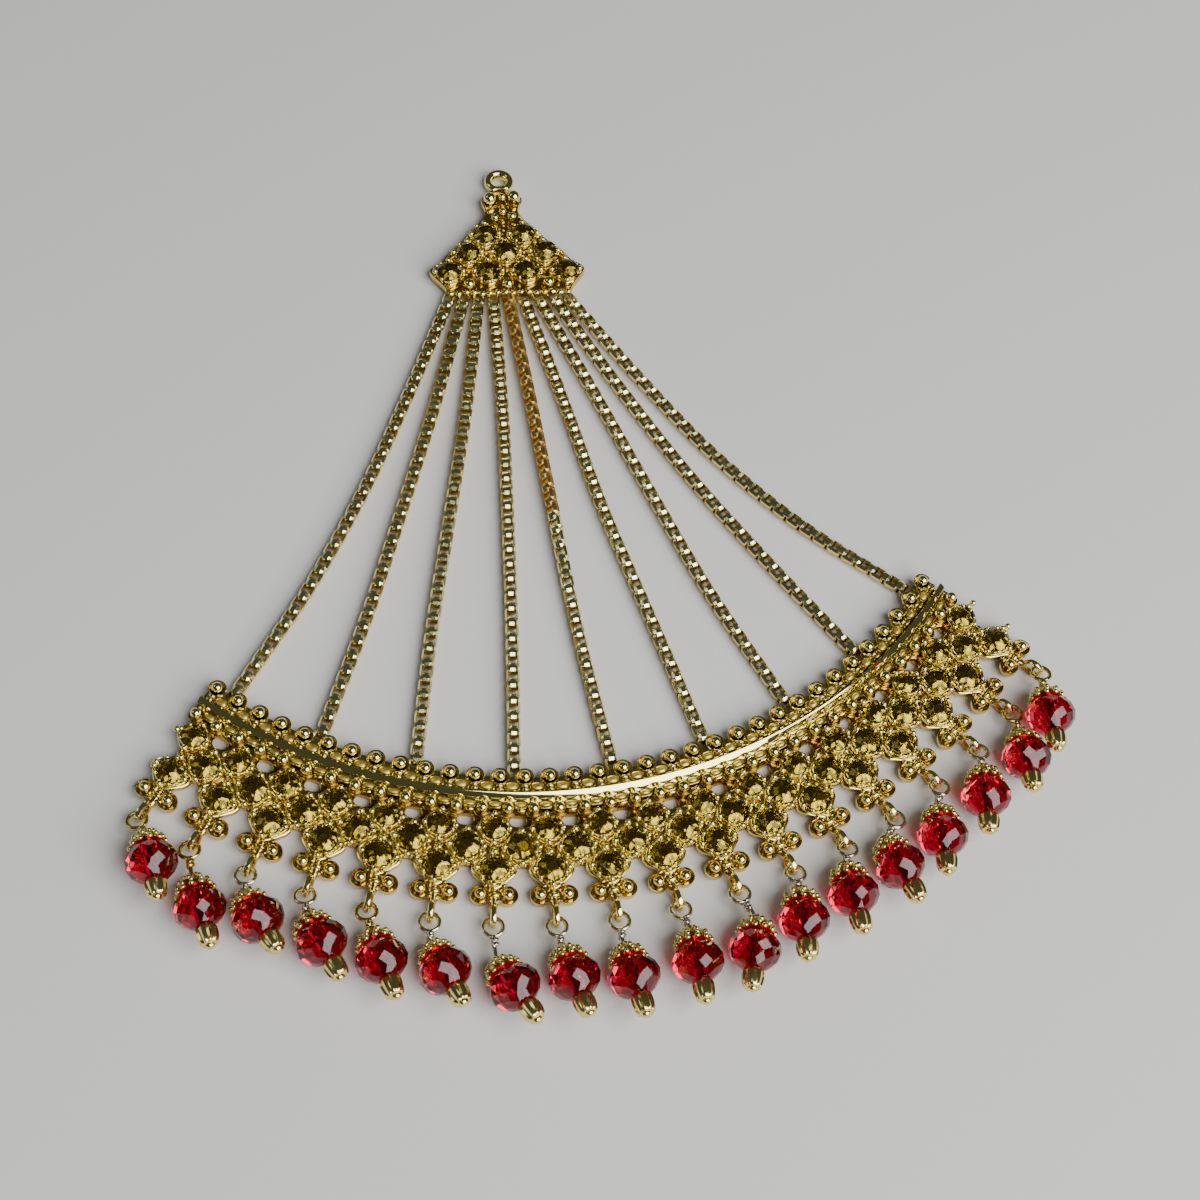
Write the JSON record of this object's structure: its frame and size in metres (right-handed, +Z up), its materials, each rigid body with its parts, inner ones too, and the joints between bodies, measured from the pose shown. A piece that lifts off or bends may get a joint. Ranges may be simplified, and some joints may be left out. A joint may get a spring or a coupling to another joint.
{
  "type": "jhoomar, a side-of-head ornament of a stone-set top plate, fanned box chains and a stone-set crescent with bead drops",
  "caption": "Gold-toned jhoomar: a small eyed plate, a fan of box chains and a stone-set crescent edged with red bead drops, worn at the side of the head.",
  "frame": {"origin": "middle of the bounding box at table level: the ornament lies flat on its back at z = 0", "axes": "+Z up out of the stone-set front, +Y from the crescent towards the hanging eye, +X towards the right-hand end of the crescent seen from the front"},
  "size_m": [0.1084, 0.1198, 0.0058],
  "materials": {
    "plate_gold": "polished gold-plated cast alloy, darker amber in the recesses",
    "chain_gold": "polished gold-plated box chain",
    "finding_gold": "polished gold-plated wire, caps and end beads",
    "red_glass": "faceted translucent deep red glass",
    "champagne_stone": "faceted champagne stone on foil",
    "pale_wire": "pale worn-plated eye wire"
  },
  "bodies": {
    "root": {"top_plate": "plate_gold", "crescent_plate": "plate_gold", "chain_1": "chain_gold", "chain_2": "chain_gold", "chain_3": "chain_gold", "chain_4": "chain_gold", "chain_5": "chain_gold", "chain_6": "chain_gold", "chain_7": "chain_gold", "chain_8": "chain_gold", "chain_9": "chain_gold", "drop_bead_1": "red_glass", "drop_pin_1": "finding_gold", "drop_bead_2": "red_glass", "drop_pin_2": "finding_gold", "drop_bead_3": "red_glass", "drop_pin_3": "finding_gold", "drop_bead_4": "red_glass", "drop_pin_4": "finding_gold", "drop_bead_5": "red_glass", "drop_pin_5": "finding_gold", "drop_bead_6": "red_glass", "drop_pin_6": "finding_gold", "drop_bead_7": "red_glass", "drop_pin_7": "finding_gold", "drop_bead_8": "red_glass", "drop_pin_8": "finding_gold", "drop_bead_9": "red_glass", "drop_pin_9": "finding_gold", "drop_bead_10": "red_glass", "drop_pin_10": "finding_gold", "drop_bead_11": "red_glass", "drop_pin_11": "finding_gold", "drop_bead_12": "red_glass", "drop_pin_12": "finding_gold", "drop_bead_13": "red_glass", "drop_pin_13": "finding_gold", "drop_bead_14": "red_glass", "drop_pin_14": "finding_gold", "drop_bead_15": "red_glass", "drop_pin_15": "finding_gold", "drop_bead_16": "red_glass", "drop_pin_16": "finding_gold", "drop_bead_17": "red_glass", "drop_pin_17": "finding_gold", "drop_bead_18": "red_glass", "drop_pin_18": "finding_gold"}
  },
  "joints": []
}
